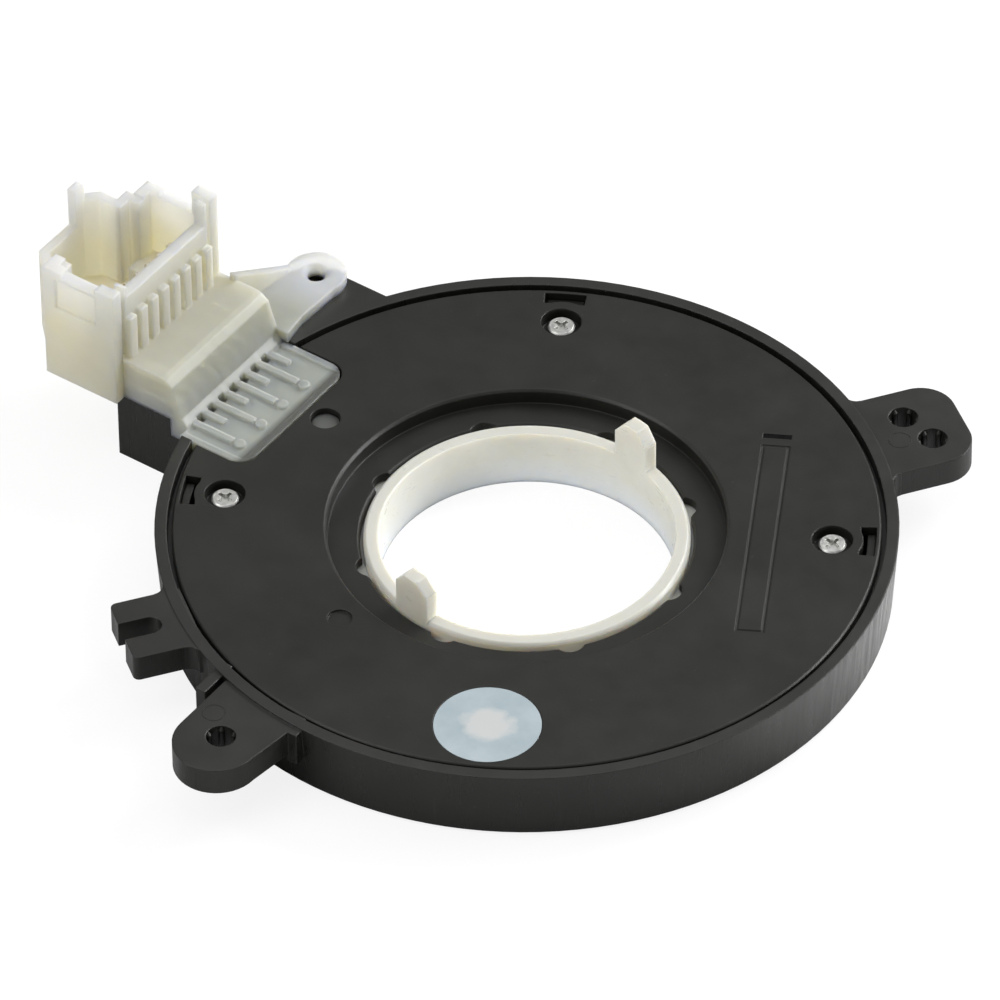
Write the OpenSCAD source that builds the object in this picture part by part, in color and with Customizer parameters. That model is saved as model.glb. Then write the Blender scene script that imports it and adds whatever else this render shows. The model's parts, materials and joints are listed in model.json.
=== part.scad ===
// Steering angle sensor for a steering column, in millimetres.
// The origin is on the rotor axis at the underside of the housing, with +Z out of the cover.
// The connector lies towards -X and its mouth opens towards +Z.

/* [Housing] */
// Outer radius of the ring wall at its rim
ring_r = 45; // [43:0.5:50]
// Height of the ring wall over the underside
ring_h = 9.7; // [9.5:0.1:12]
// Thickness of the ring wall
wall_t = 1.5; // [1.2:0.1:2]
// Draft of the ring wall, as the radius lost at its foot
wall_draft = 0.6; // [0.2:0.1:1]
// Chamfer round the foot of the ring wall
foot_chamfer = 0.4; // [0.2:0.1:0.8]
// Thickness of the base plate
base_t = 1.4; // [1:0.1:1.5]
// Width of the inner ledge that carries the cover
ledge_w = 1.2; // [1:0.1:1.6]
// Thickness of the collar that guides the rotor
collar_t = 1.5; // [1:0.1:2]
// Running clearance of the rotor in its collar, on the radius
rotor_play = 0.08; // [0.05:0.01:0.1]
// Height of the stiffening ribs on the base plate
base_rib_h = 1.6; // [1:0.1:2.5]

/* [Cover] */
// Thickness of the cover plate
cover_t = 1.4; // [1.2:0.1:1.6]
// How far the cover lies under the rim of the ring wall
cover_drop = 0.2; // [0:0.1:0.6]
// Width of the open groove round the cover
cover_gap = 0.6; // [0.4:0.1:0.8]
// Radius of the round recess at the centre of the cover
recess_r = 24.2; // [23.5:0.1:24.8]
// Depth of that recess
recess_depth = 2.1; // [1.8:0.1:2.1]
// Thickness of the floor of the recess
recess_floor_t = 1.2; // [1:0.1:1.2]
// Gap between the rotor and the inner edge of the cover
cover_edge_gap = 0.4; // [0.3:0.1:0.8]
// Number of round notches in that inner edge
notch_n = 8; // [4:1:10]
// Radius of one notch
notch_r = 1.9; // [1.2:0.1:2.2]
// How far a notch reaches into the floor of the recess
notch_reach = 1.1; // [0.6:0.1:1.4]
// Radius of the gate mark on the cover
gate_r = 1.5; // [1:0.1:2]

/* [Rotor] */
// Radius of the rotor's bore, which slides over the column
bore_r = 18; // [17:0.1:18.5]
// Wall thickness of the rotor's ring
rotor_t = 1.8; // [1.5:0.1:2]
// Height of the rotor's upper rim over the underside
rotor_top = 7.9; // [7.4:0.1:8.4]
// Height of the rotor's lower edge over the underside
rotor_foot = 0; // [0:0.1:0.6]
// Width of the rotor's shoulder under the cover
shoulder_w = 3; // [2.4:0.1:3.4]
// Edge chamfer of the rotor's rim
rim_chamfer = 0.35; // [0.2:0.05:0.5]
// Width of one drive tab, along the rim
tab_w = 5.2; // [4:0.1:7]
// Rise of a drive tab over the rim
tab_rise = 5.5; // [4:0.1:7]
// Width that the tab's top loses at each end
tab_slope_w = 1.5; // [0.8:0.1:1.8]
// Height of that slope
tab_slope_h = 1.8; // [1:0.1:3]
// Direction of the first drive tab
tab_angle = 80.5; // [60:0.5:120]

/* [Gears] */
// Module of the gear teeth
tooth_m = 0.8; // [0.78:0.01:0.8]
// Teeth of the rotor
rotor_teeth = 62; // [61:1:62]
// Teeth of the first measuring gear
gear_a_teeth = 16; // [15:1:16]
// Teeth of the second measuring gear
gear_b_teeth = 17; // [17:1:18]
// Pressure angle of the teeth
pressure_angle = 25; // [22:1:26]
// Play between meshing flanks, along the pitch circle
backlash = 0.2; // [0.14:0.02:0.3]
// Face width of the gears
gear_face = 2.2; // [1.8:0.1:2.2]
// Direction of the first measuring gear from the rotor axis
gear_a_angle = 148; // [146:0.5:150]
// Direction of the second measuring gear
gear_b_angle = 182; // [180:0.5:183]
// Radius of the spindle of a measuring gear
spindle_r = 1.2; // [1:0.05:1.4]
// Running clearance of a measuring gear on its spindle
spindle_play = 0.06; // [0.03:0.01:0.1]
// Radius of a magnet
magnet_r = 2.5; // [2:0.1:3]
// Thickness of a magnet
magnet_t = 1.2; // [0.8:0.1:1.3]

/* [Circuit board] */
// Thickness of the board
board_t = 1.2; // [0.8:0.1:1.2]
// Direction where the board begins
board_from = 124.5; // [124:0.1:126]
// Direction where the board ends
board_to = 201; // [200.6:0.1:201]
// Radius of a board post
post_r = 1.5; // [1.2:0.1:1.5]
// Radius of the pin that holds the board
post_pin_r = 0.7; // [0.5:0.1:0.8]
// Radius of the flattened head of that pin
post_head_r = 1.1; // [1:0.1:1.2]

/* [Screws] */
// Distance of the cover screws from the outer face of the ring wall
screw_inset = 8; // [7.8:0.1:8.5]
// Radius of a screw's shank
screw_r = 1; // [0.8:0.05:1.1]
// Length of a screw's shank
screw_l = 5; // [3:0.5:5]
// Radius of a screw's head
head_r = 1.7; // [1.5:0.05:2]
// Height of a screw's head
head_t = 1.1; // [0.8:0.1:1.2]
// Radius of the counterbore round a head
counterbore_r = 2.5; // [2.2:0.1:2.6]
// Depth of that counterbore
counterbore_depth = 1.65; // [1.4:0.05:1.8]
// Radius of a screw boss
boss_r = 3; // [2.6:0.1:3.1]
// Half length of an arm of the cross recess
cross_reach = 1; // [0.8:0.05:1.2]
// Width of an arm of the cross recess
cross_w = 0.45; // [0.3:0.05:0.6]
// Direction of the arms, the same on each screw
cross_turn = 81; // [0:1:90]

/* [Snap windows] */
// Distance of the three arc windows from the outer face of the ring wall
window_inset = 2.7; // [2.7:0.1:3]
// Width of the arc windows
window_w = 1.9; // [1.5:0.1:2.1]
// Land between a counterbore and its window
window_land = 1.25; // [1:0.05:1.4]
// Angle that a window spans
window_span = 7; // [5:0.5:8]
// Room between a snap hook and its window
hook_gap = 0.3; // [0.2:0.05:0.4]
// Width of a snap hook
hook_w = 1.1; // [0.8:0.1:1.2]
// How far the hooks lie under the cover's face
hook_drop = 1; // [0.3:0.1:1.2]

/* [Vent] */
// Distance of the vent film's centre from the outer face of the ring wall
film_inset = 9.3; // [9:0.1:10]
// Radius of the vent film
film_r = 6.45; // [5:0.05:6.6]
// Thickness of the vent film
film_t = 0.15; // [0.1:0.05:0.3]
// Radius of the vent hole under the film
vent_r = 2; // [1:0.1:3]

/* [Mounting ears] */
// Thickness of the mounting ears
ear_t = 3.6; // [3:0.1:4.5]
// How far the ears lie under the rim
ear_drop = 0.3; // [0.1:0.1:1]
// Radius of the holes in the mounting ears
ear_hole_r = 1.8; // [1.4:0.1:2]
// How far the single ear's hole lies inside the centre of its round end
ear_hole_in = 0.9; // [0:0.1:1.5]
// Half width of the single ear and radius of its end
ear_r = 5.3; // [4.5:0.1:6]
// Sideways place of the single ear, which points towards -Y
ear_x = -8.1; // [-9:0.1:-7]
// How far the single ear's hole lies outside the ring wall along -Y
ear_out = 7.1; // [6.5:0.1:11]
// Direction of the double ear
double_angle = 55; // [50:0.5:60]
// How far the double ear's end centre lies outside the ring wall
double_out = 7; // [6:0.1:11]
// Half width of the double ear
double_half = 7; // [6.6:0.1:8]
// Corner radius of the double ear
double_corner = 4.3; // [3.4:0.1:4.6]
// Sideways place of the double ear's two holes, each way from its middle
double_hole_side = 2.4; // [2.2:0.1:3.5]
// How far each of those holes lies in or out from their middle
double_hole_shift = 1; // [0:0.1:2]
// How far the middle of those holes lies inside the centre of the corners
double_hole_in = 1.4; // [0:0.1:2]
// Radius of the fillets where the double ear and the fork tab meet the ring wall
root_fillet_r = 1.5; // [0.8:0.1:2]
// Width of the stiffening ribs on the ring wall's outer face
wall_rib_w = 1.4; // [1:0.1:1.8]
// How far those ribs stand out
wall_rib_out = 1.1; // [0.6:0.1:1.5]
// Height of the foot of those ribs over the underside
wall_rib_foot = 4.7; // [3:0.1:5.2]

/* [Fork tab] */
// Direction of the fork tab
fork_angle = -126; // [-130:0.5:-122]
// Thickness of the fork tab
fork_t = 3.6; // [2.5:0.1:4]
// How far the fork's tips lie outside the ring wall
fork_out = 7; // [5.5:0.1:10]
// Width of the fork's slot
fork_slot_w = 2.9; // [2.2:0.1:3.4]
// Width of each prong
prong_w = 3.6; // [2.5:0.1:4.2]
// Sideways place of the slot from the fork's direction
fork_shift = 2.5; // [1.5:0.1:3.5]
// Depth of the slot from the tips
fork_slot_l = 5; // [4:0.1:5]
// Corner radius of the prongs
prong_corner = 0.8; // [0.5:0.1:1.2]

/* [Connector] */
// Number of terminals
ways = 8; // [6:1:8]
// Distance between terminals
pitch = 2.2; // [2:0.05:2.2]
// Side of a terminal's square section
terminal_s = 0.64; // [0.5:0.02:0.7]
// Sideways place of the connector from the rotor axis
conn_y = -0.5; // [-0.8:0.1:0]
// How far the tongue reaches in from the outer face of the ring wall
tongue_in = 10.9; // [10.4:0.1:11.2]
// Half width of the tongue
tongue_half = 10.65; // [10.2:0.05:11]
// How far the tongue lies under the rim
tongue_drop = 0.3; // [0.2:0.1:0.5]
// Corner radius of the tongue
tongue_corner = 2.5; // [1.5:0.1:3.5]
// Room round the tongue in the cover
tongue_gap = 0.25; // [0.15:0.05:0.4]
// How far the block's inner foot lies inside the outer face of the ring wall
block_in = 1.1; // [0.8:0.1:1.4]
// Height of the block over the rim
block_h = 6.1; // [5:0.1:7]
// How far the shroud's inner face lies outside the ring wall
shroud_out = 8.5; // [7.5:0.1:10]
// Room inside the shroud across the terminals
mouth_w = 7.7; // [6.5:0.1:9]
// Half of the room inside the shroud along the terminals
mouth_half = 9.2; // [8.8:0.1:10]
// Thickness of the shroud's walls
shroud_t = 1.5; // [1.1:0.1:1.6]
// Thickness of the shroud's floor
shroud_floor = 3; // [2.8:0.1:3.5]
// Height of the shroud's walls over the rim
shroud_h = 15.3; // [12:0.1:17]
// Rise of the end wall towards -Y over the other walls
end_rise = 1.1; // [0.5:0.1:1.5]
// Rise of the tall corner post beside the flange over the walls
corner_rise = 3.5; // [2:0.1:5]
// Rise of the other three corner posts over the walls
post_rise = 1.7; // [1.6:0.1:2]
// Height of the raised floor at the mouth's +Y end over the shroud's floor
shelf_h = 3.3; // [2:0.1:4]
// Distance of the raised floor's edge from the connector's middle
shelf_y = 4.75; // [4.6:0.05:4.8]
// Length of the corner posts
corner_l = 2.8; // [1.5:0.1:3]
// Depth of the latch hood behind the shroud
hood_depth = 6; // [4:0.1:8]
// Half width of the room in the latch hood
hood_half = 4.9; // [3.5:0.1:5.5]
// Corner cut in the latch hood
hood_cut = 1.5; // [0.8:0.1:2]
// How far the latch hood's lower half lies under the shroud's walls
hood_drop = 3.4; // [2:0.1:5]
// Distance of the step in the latch hood from the connector's middle
hood_split = 2; // [1:0.1:2.4]
// Rise of the lug beside that step over the shroud's walls
lug_rise = 2.3; // [1:0.1:3]
// Distance of the terminals' tips over the shroud's floor
tip_h = 6.8; // [5:0.1:8]
// Thickness of the fixing flange beside the block
flange_t = 1.5; // [1.2:0.1:2]
// Radius of the hole in the fixing flange
flange_hole_r = 1.1; // [0.8:0.05:1.3]
// Radius of the round end of the fixing flange
flange_r = 3.8; // [3:0.1:4.2]
// Sideways distance of the flange's hole from the connector's middle
flange_hole_y = 21.6; // [20.5:0.1:22]
// How far the flange's hole lies outside the ring wall
flange_out = 1.9; // [1:0.1:3]
// Thickness of the upright web along the flange
web_t = 0.9; // [0.6:0.1:1.2]
// Radius of the locating boss seen in the cover
locator_r = 1.7; // [1.3:0.1:1.8]

/* [Hidden] */
$fn = 96;

// Overlap that makes two joined shapes one solid, and the reach of a cut past a face
lap = 0.3;
past = 1;

// Colours
black_nylon = [0.13, 0.13, 0.13];
white_acetal = [0.88, 0.88, 0.84];
natural_nylon = [0.86, 0.85, 0.76];
zinc = [0.72, 0.72, 0.72];
board_green = [0.08, 0.32, 0.2];
film_blue = [0.75, 0.8, 0.86];
package_black = [0.09, 0.09, 0.1];

// Heights
cover_top = ring_h - cover_drop;
cover_under = cover_top - cover_t;
recess_top = cover_top - recess_depth;
recess_under = recess_top - recess_floor_t;
gear_z = base_t + 0.6;
gear_top = gear_z + gear_face;
collar_top = gear_z - 0.05;
shoulder_top = recess_under - 0.2;
cup_top = gear_top + 0.2;
spindle_top = cup_top - magnet_t - 0.45;
tongue_top = ring_h - tongue_drop;
sensor_t = 1;
sensor_air = 0.4;
board_z = cup_top + sensor_air + sensor_t;
board_top = board_z + board_t;
seat_z = cover_top - counterbore_depth;
cup_floor_t = 1;
cup_wall_t = 0.7;
boss_top = seat_z - cup_floor_t;
ear_z = ring_h - ear_drop - ear_t;

// Radii
foot_r = ring_r - wall_draft;
inner_r = ring_r - wall_t;
ledge_r = inner_r - ledge_w;
rotor_r = bore_r + rotor_t;
collar_r = rotor_r + rotor_play;
cover_r = inner_r - cover_gap;
recess_wall_r = recess_r + 1.2;
board_in = recess_wall_r + 1.2;
board_out = ledge_r - 0.5;
board_mid = (board_in + board_out) / 2;
screw_ring_r = ring_r - screw_inset;
window_out = ring_r - window_inset;
window_in = window_out - window_w;
ear_reach = ring_r + ear_out;
double_reach = ring_r + double_out;
fork_reach = ring_r + fork_out;

// Gears
rotor_pitch_r = pitch_r(rotor_teeth);
addendum = 0.9 * tooth_m;
dedendum = 1.2 * tooth_m;
flank_steps = 4;
gear_boss_r = spindle_r + 1;
cup_wall = 0.8;
gear_room = 0.3;

// Places on the cover and in the housing, as distance from the axis and direction
screw_angles = [118.8, 206.6, 30.4];
film_place = [ring_r - film_inset, -62.1];
gate_place = [recess_r + 3.7, -108];
post_edge = 1.8;
post_places = [[board_out - post_edge, 128.5], [board_in + post_edge, 127],
    [board_in + post_edge, 165], [board_mid, 198.5]];
base_rib_angles = [-115, -88, -35, -8, 55, 82];
base_rib_w = 1;

// Chips on the board, one after the other along its middle
sensor_w = 3.2;
sensor_l = 4.2;
lead_reach = 0.45;
chip_t = 0.9;
microcontroller_s = 7;
microcontroller_place = [board_mid, 148.5];
transceiver_w = 3.9;
transceiver_l = 4.9;
transceiver_place = [board_mid, 137];
regulator_s = 3;
regulator_place = [board_mid, 128.5];
resonator_w = 3.2;
resonator_l = 2.4;
resonator_t = 0.8;
resonator_place = [board_mid, 157.7];
capacitor_w = 1.2;
capacitor_l = 2;
capacitor_t = 0.8;
capacitor_edge = 2.2;
capacitor_rim = 1.5;
capacitor_places = [[board_in + capacitor_edge, 186], [board_in + capacitor_edge, 191],
    [board_out - capacitor_rim, 141], [board_in + capacitor_edge, 138.8]];

// Frame of thin grooves and the bar beside it, where the plain marking field is
field_x = 15.2;
field_y = 28;
field_turn = -61;
field_l = 33.5;
field_w = 3.5;
groove_w = 0.35;
groove_depth = 0.15;
bar_w = 0.8;
bar_gap = 1.2;

// Connector
tongue_x = ring_r - tongue_in;
block_x = ring_r - block_in;
shroud_x = ring_r + shroud_out;
flange_hole_x = ring_r + flange_out;
locator_place = [recess_wall_r + (tongue_x - recess_wall_r) * 2 / 3, 177.3];
pin_x = shroud_x + shroud_t + mouth_w / 2;
mouth_far_x = shroud_x + shroud_t + mouth_w;
shroud_far_x = mouth_far_x + shroud_t;
shroud_half = mouth_half + shroud_t;
shroud_top = ring_h + shroud_h;
corner_top = shroud_top + corner_rise;
floor_top = ring_h + shroud_floor;
block_top = ring_h + block_h;
block_slope = 3.1;
block_low = 9.15;
step_x = block_x + 2.6;
riser_x = step_x - 0.6;
run_z = ring_h + 1.7;
tongue_run_z = board_top + 1.5;
tail_edge = 1.4;
tail_short_x = board_out - tail_edge;
sensor_edge = gear_distance(gear_b_teeth) + sensor_w / 2 + lead_reach;
tail_long_x = (sensor_edge + tail_short_x) / 2;
tail_foot_z = board_z - 0.7;
terminal_play = 0.02;
slot_x = block_x - 0.2;
bar_deep = 0.8;
comb_w = 1.3;
comb_top = shroud_top - 3;
post_top = shroud_top + post_rise;
low_post_top = shroud_top + 0.3;
fillet_step = 0.05;
end_top = shroud_top + end_rise;
slit_w = 0.7;
panel_edge = 1.8;
panel_deep = 0.4;
panel_foot = shroud_top - 4.1;
panel_lip = 0.6;
hood_t = shroud_t - 0.3;
lug_l = 1.8;
hood_wide = hood_half + 1.9;
hood_far_x = mouth_far_x + hood_depth;
bracket_x = shroud_x + 1.1;
bracket_back = flange_hole_y + conn_y + 2.7;
bracket_wall = 1.6;
bracket_roof = 4.2;
bracket_in = ring_r - 15;
bracket_foot = 1.5;
bracket_boss_r = 2.4;

// Place a child at a distance from the axis in a direction, turned to face outwards
module at(place) {
    rotate([0, 0, place[1]])
        translate([place[0], 0, 0])
            children();
}

// Ring of rectangular section
module ring(r_in, r_out, z0, z1) {
    translate([0, 0, z0])
        difference() {
            cylinder(r = r_out, h = z1 - z0);
            translate([0, 0, -past])
                cylinder(r = r_in, h = z1 - z0 + 2 * past);
        }
}

// Wedge of an angular range, for cutting rings into sectors
module sector(r, from, to, z0, z1) {
    steps = 6;
    rim = [for (i = [0 : steps]) let (a = from + (to - from) * i / steps)
        [r * 1.2 * cos(a), r * 1.2 * sin(a)]];
    translate([0, 0, z0])
        linear_extrude(z1 - z0)
            polygon(concat([[0, 0]], rim));
}

// Block between two corners
module block(p0, p1) {
    translate(p0)
        cube(p1 - p0);
}

// Involute tooth form
function inv(a) = tan(a) * 180 / PI - a;
function flank(r, rb, teeth, play) =
    90 / teeth - play / 4 / pitch_r(teeth) * 180 / PI
    + inv(pressure_angle) - inv(acos(min(1, rb / r)));
function polar(r, a) = [r * cos(a), r * sin(a)];

// Outline of an external gear with a tooth centred on the X axis
module gear_outline(teeth) {
    rp = pitch_r(teeth);
    rb = rp * cos(pressure_angle);
    ra = rp + addendum;
    rf = rp - dedendum;
    r0 = max(rb, rf);
    steps = [for (i = [0 : flank_steps]) r0 + (ra - r0) * i / flank_steps];
    radii = concat(rf < rb ? [rf] : [], steps);
    n = len(radii) - 1;
    polygon([for (k = [0 : teeth - 1]) for (j = [0 : 2 * n + 1])
        let (up = j <= n, r = radii[up ? j : 2 * n + 1 - j], a = flank(max(r, rb), rb, teeth, backlash))
        polar(r, k * 360 / teeth + (up ? -a : a))]);
}

function pitch_r(teeth) = tooth_m * teeth / 2;
function gear_distance(teeth) = pitch_r(rotor_teeth) + pitch_r(teeth);
// Turn that brings a measuring gear into mesh with the rotor, which has a tooth on the X axis
function mesh_turn(teeth, angle) = 180 + 180 / teeth + angle * rotor_teeth / teeth;

// Housing: ring wall, base plate, ledge and collar as one revolved section
module housing_ring() {
    rotate_extrude()
        polygon([[collar_r, 0], [foot_r - foot_chamfer, 0], [foot_r, foot_chamfer], [ring_r, ring_h],
            [inner_r, ring_h], [inner_r, cover_under], [ledge_r, cover_under], [ledge_r, base_t],
            [collar_r + collar_t, base_t], [collar_r + collar_t, collar_top], [collar_r, collar_top]]);
}

// Stiffening rib on the outer face of the ring wall towards -Y, from a place along X
module wall_rib(x) {
    root_y = -sqrt(inner_r * inner_r - x * x);
    block([x, -ring_r - wall_rib_out, wall_rib_foot], [x + wall_rib_w, root_y, ear_z + ear_t]);
}

// Plan of the fillet between the ring wall and the side of a tab that points along +X
module root_fillet(y, s) {
    r = root_fillet_r;
    centre_y = y + s * r;
    centre_x = sqrt(pow(ring_r + r, 2) - centre_y * centre_y);
    share = ring_r / (ring_r + r);
    root_x = sqrt(inner_r * inner_r - y * y);
    difference() {
        polygon([[root_x, y - s * lap], [centre_x, y - s * lap], [centre_x, centre_y],
            [centre_x * share, centre_y * share], [centre_x * share - past, centre_y * share]]);
        translate([centre_x, centre_y])
            circle(r = r - fillet_step);
    }
}

// Ear with one hole and a round end, pointing towards -Y
module single_ear() {
    taper = 1.2;
    root_y = -sqrt(inner_r * inner_r - ear_x * ear_x) - lap;
    translate([0, 0, ear_z])
        difference() {
            linear_extrude(ear_t)
                union() {
                    translate([ear_x, -ear_reach])
                        circle(r = ear_r);
                    polygon([[ear_x - ear_r, root_y], [ear_x - ear_r, -ear_reach],
                        [ear_x + ear_r, -ear_reach], [ear_x + ear_r + taper, root_y]]);
                }
            translate([ear_x, ear_hole_in - ear_reach, -past])
                cylinder(r = ear_hole_r, h = ear_t + 2 * past);
        }
}

// Ear with two holes and two rounded corners
module double_ear() {
    side = double_half - double_corner;
    root = inner_r + lap;
    rotate([0, 0, double_angle])
        translate([0, 0, ear_z])
            difference() {
                linear_extrude(ear_t)
                    union() {
                        for (s = [-1, 1]) {
                            translate([double_reach, s * side])
                                circle(r = double_corner);
                            root_fillet(s * double_half, s);
                        }
                        translate([double_reach - lap, -side])
                            square([double_corner + lap, 2 * side]);
                        polygon([[root - lap, -double_half], [double_reach, -double_half],
                            [double_reach, double_half], [root - lap, double_half]]);
                    }
                for (s = [-1, 1])
                    translate([double_reach - double_hole_in - s * double_hole_shift,
                        s * double_hole_side, -past])
                        cylinder(r = ear_hole_r, h = ear_t + 2 * past);
            }
}

// Fork tab with an open slot that has a round bottom
module fork_tab() {
    half = fork_slot_w / 2 + prong_w;
    root = inner_r - lap;
    slot_end = fork_reach - fork_slot_l + fork_slot_w / 2;
    inset = fork_reach - prong_corner;
    rotate([0, 0, fork_angle])
        translate([0, 0, ring_h - 0.1 - fork_t])
            linear_extrude(fork_t)
                difference() {
                    union() {
                        for (s = [-1, 1]) {
                            translate([inset, fork_shift + s * (half - prong_corner)])
                                circle(r = prong_corner);
                            root_fillet(fork_shift + s * half, s);
                        }
                        translate([root, fork_shift - half])
                            square([inset - root, 2 * half]);
                        translate([root, fork_shift - half + prong_corner])
                            square([fork_reach - root, 2 * (half - prong_corner)]);
                    }
                    translate([slot_end, fork_shift])
                        circle(r = fork_slot_w / 2);
                    translate([slot_end, fork_shift - fork_slot_w / 2])
                        square([fork_slot_l + past, fork_slot_w]);
                }
}

// Bracket under the connector, open from below, with a boss for the flange screw
module connector_bracket() {
    low_y = conn_y - block_low;
    far_y = conn_y + shroud_half;
    hole_x = -flange_hole_x;
    hole_y = conn_y + flange_hole_y;
    wall = bracket_wall;
    difference() {
        linear_extrude(ring_h)
            polygon([[-bracket_x, low_y], [-bracket_in, low_y], [-bracket_in, bracket_back],
                [hole_x + 1, bracket_back], [hole_x - 2.4, bracket_back - 1.8], [-bracket_x, far_y]]);
        // Pocket open at the underside
        translate([0, 0, -past])
            linear_extrude(ring_h - bracket_roof + past)
                polygon([[wall - bracket_x, low_y + wall], [-bracket_in, low_y + wall],
                    [-bracket_in, bracket_back - wall], [hole_x + 1, bracket_back - wall],
                    [hole_x - 1.2, bracket_back - 1.2 - wall], [wall - bracket_x, far_y - 0.6]]);
        translate([0, 0, -past])
            cylinder(r = inner_r + lap, h = ring_h + 2 * past);
    }
    // Rib across the pocket and the screw boss
    difference() {
        union() {
            block([-bracket_x + lap, conn_y - wall / 2, bracket_foot],
                [-inner_r, conn_y + wall / 2, ring_h - bracket_roof + lap]);
            translate([hole_x, hole_y, bracket_foot])
                cylinder(r = bracket_boss_r, h = ring_h - bracket_foot - lap);
        }
        translate([0, 0, -past])
            cylinder(r = inner_r + lap, h = ring_h + 2 * past);
    }
}

// Snap hook that stands in an arc window of the cover
module snap_hook(angle) {
    span = window_span - 2 * hook_gap / window_in * 180 / PI;
    foot_in = window_out - hook_w;
    intersection() {
        union() {
            ring(foot_in, ledge_r + lap, base_t - lap, cover_under - 0.1);
            ring(foot_in, window_out - hook_gap / 2, cover_under - past, cover_top - hook_drop);
        }
        sector(window_out, angle - span / 2, angle + span / 2, 0, ring_h);
    }
}

module housing() {
    color(black_nylon)
        difference() {
            union() {
                housing_ring();
                single_ear();
                double_ear();
                fork_tab();
                connector_bracket();
                wall_rib(ear_x + ear_r + 0.6);
                wall_rib(ear_x - ear_r - wall_rib_w - 0.8);
                for (a = screw_angles) {
                    at([screw_ring_r, a])
                        translate([0, 0, base_t - lap])
                            cylinder(r = boss_r, h = boss_top - base_t + lap);
                    snap_hook(a);
                }
                for (p = post_places)
                    at(p) {
                        translate([0, 0, base_t - lap])
                            cylinder(r = post_r, h = board_z - base_t + lap);
                        cylinder(r = post_pin_r, h = board_top + lap);
                        translate([0, 0, board_top])
                            cylinder(r = post_head_r, h = 0.5);
                    }
                for (g = [[gear_a_teeth, gear_a_angle], [gear_b_teeth, gear_b_angle]])
                    at([gear_distance(g[0]), g[1]]) {
                        translate([0, 0, base_t - lap])
                            cylinder(r = gear_boss_r, h = lap + 0.15);
                        cylinder(r = spindle_r, h = spindle_top);
                    }
                for (a = base_rib_angles)
                    rotate([0, 0, a])
                        block([rotor_pitch_r + 3, -base_rib_w / 2, base_t - lap],
                            [ledge_r + lap, base_rib_w / 2, base_t + base_rib_h]);
            }
            // Room for the measuring gears beside the ledge
            for (g = [[gear_a_teeth, gear_a_angle], [gear_b_teeth, gear_b_angle]])
                at([gear_distance(g[0]), g[1]])
                    ring(pitch_r(g[0]), pitch_r(g[0]) + addendum + gear_room, base_t + 0.2, cup_top);
            // Pilot bores of the cover screws
            for (a = screw_angles)
                at([screw_ring_r, a])
                    translate([0, 0, seat_z - screw_l - 0.5])
                        cylinder(r = screw_r + terminal_play, h = screw_l + 0.5);
            // Gap in the wall for the tongue and the step of the block
            block([-step_x, conn_y - tongue_half - 0.1, board_top],
                [-ledge_r + 3.5, conn_y + tongue_half + 0.1, ring_h + past]);
            // Screw hole under the connector's fixing flange
            translate([-flange_hole_x, conn_y + flange_hole_y, 2.5])
                cylinder(r = flange_hole_r, h = ring_h);
        }
}

// Outline of the tongue, grown by a gap, from its end to far outside
module tongue_outline(grow) {
    r = tongue_corner + grow;
    half = tongue_half + grow;
    end_x = -tongue_x + grow;
    translate([0, conn_y])
        union() {
            for (s = [-1, 1])
                translate([end_x - r, s * (half - r)])
                    circle(r = r);
            translate([end_x - r - lap, -half + r])
                square([r + lap, 2 * (half - r)]);
            translate([-block_x, -half])
                square([block_x - tongue_x + grow - r, 2 * half]);
        }
}

module cover() {
    edge_r = rotor_r + cover_edge_gap;
    color(black_nylon)
        difference() {
            union() {
                rotate_extrude()
                    polygon([[edge_r, recess_under], [recess_wall_r, recess_under],
                        [recess_wall_r, cover_under], [cover_r, cover_under],
                        [cover_r, cover_top - 0.2], [cover_r - 0.2, cover_top],
                        [recess_r + 0.3, cover_top], [recess_r, cover_top - 0.3], [recess_r, recess_top],
                        [edge_r + 0.3, recess_top], [edge_r, recess_top - 0.3]]);
                for (a = screw_angles)
                    at([screw_ring_r, a])
                        translate([0, 0, boss_top])
                            cylinder(r = counterbore_r + cup_wall_t, h = cover_top - boss_top - lap);
            }
            // Counterbores and clearance holes of the screws
            for (a = screw_angles)
                at([screw_ring_r, a]) {
                    translate([0, 0, seat_z])
                        cylinder(r = counterbore_r, h = counterbore_depth + past);
                    translate([0, 0, boss_top - past])
                        cylinder(r = screw_r + 0.15, h = cover_t + 2 * past);
                }
            // Windows of the snap hooks
            for (a = screw_angles)
                difference() {
                    intersection() {
                        ring(window_in, window_out, cover_under - past, cover_top + past);
                        sector(window_out, a - window_span / 2, a + window_span / 2, 0, ring_h + past);
                    }
                    at([screw_ring_r, a])
                        cylinder(r = counterbore_r + window_land, h = ring_h + 2 * past);
                }
            // Round notches in the inner edge
            for (k = [0 : notch_n - 1])
                rotate([0, 0, 5.6 + k * 360 / notch_n])
                    translate([edge_r + notch_reach - notch_r, 0, recess_under - past])
                        cylinder(r = notch_r, h = recess_floor_t + 2 * past);
            // Opening for the tongue
            translate([0, 0, recess_under])
                linear_extrude(cover_top)
                    union() {
                        tongue_outline(tongue_gap);
                        translate([-ring_r - past, conn_y - tongue_half - tongue_gap])
                            square([ring_r - tongue_x - tongue_corner, 2 * (tongue_half + tongue_gap)]);
                    }
            at(locator_place)
                translate([0, 0, cover_under - past])
                    cylinder(r = locator_r + 0.15, h = cover_t + 2 * past);
            at(gate_place)
                translate([0, 0, cover_top - 0.3])
                    cylinder(r = gate_r, h = past);
            // Vent hole and the seat of its film
            at(film_place) {
                translate([0, 0, cover_top - film_t])
                    cylinder(r = film_r + 0.05, h = past);
                translate([0, 0, cover_under - past])
                    cylinder(r = vent_r, h = cover_t + 2 * past);
            }
            marking_field();
        }
}

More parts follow.
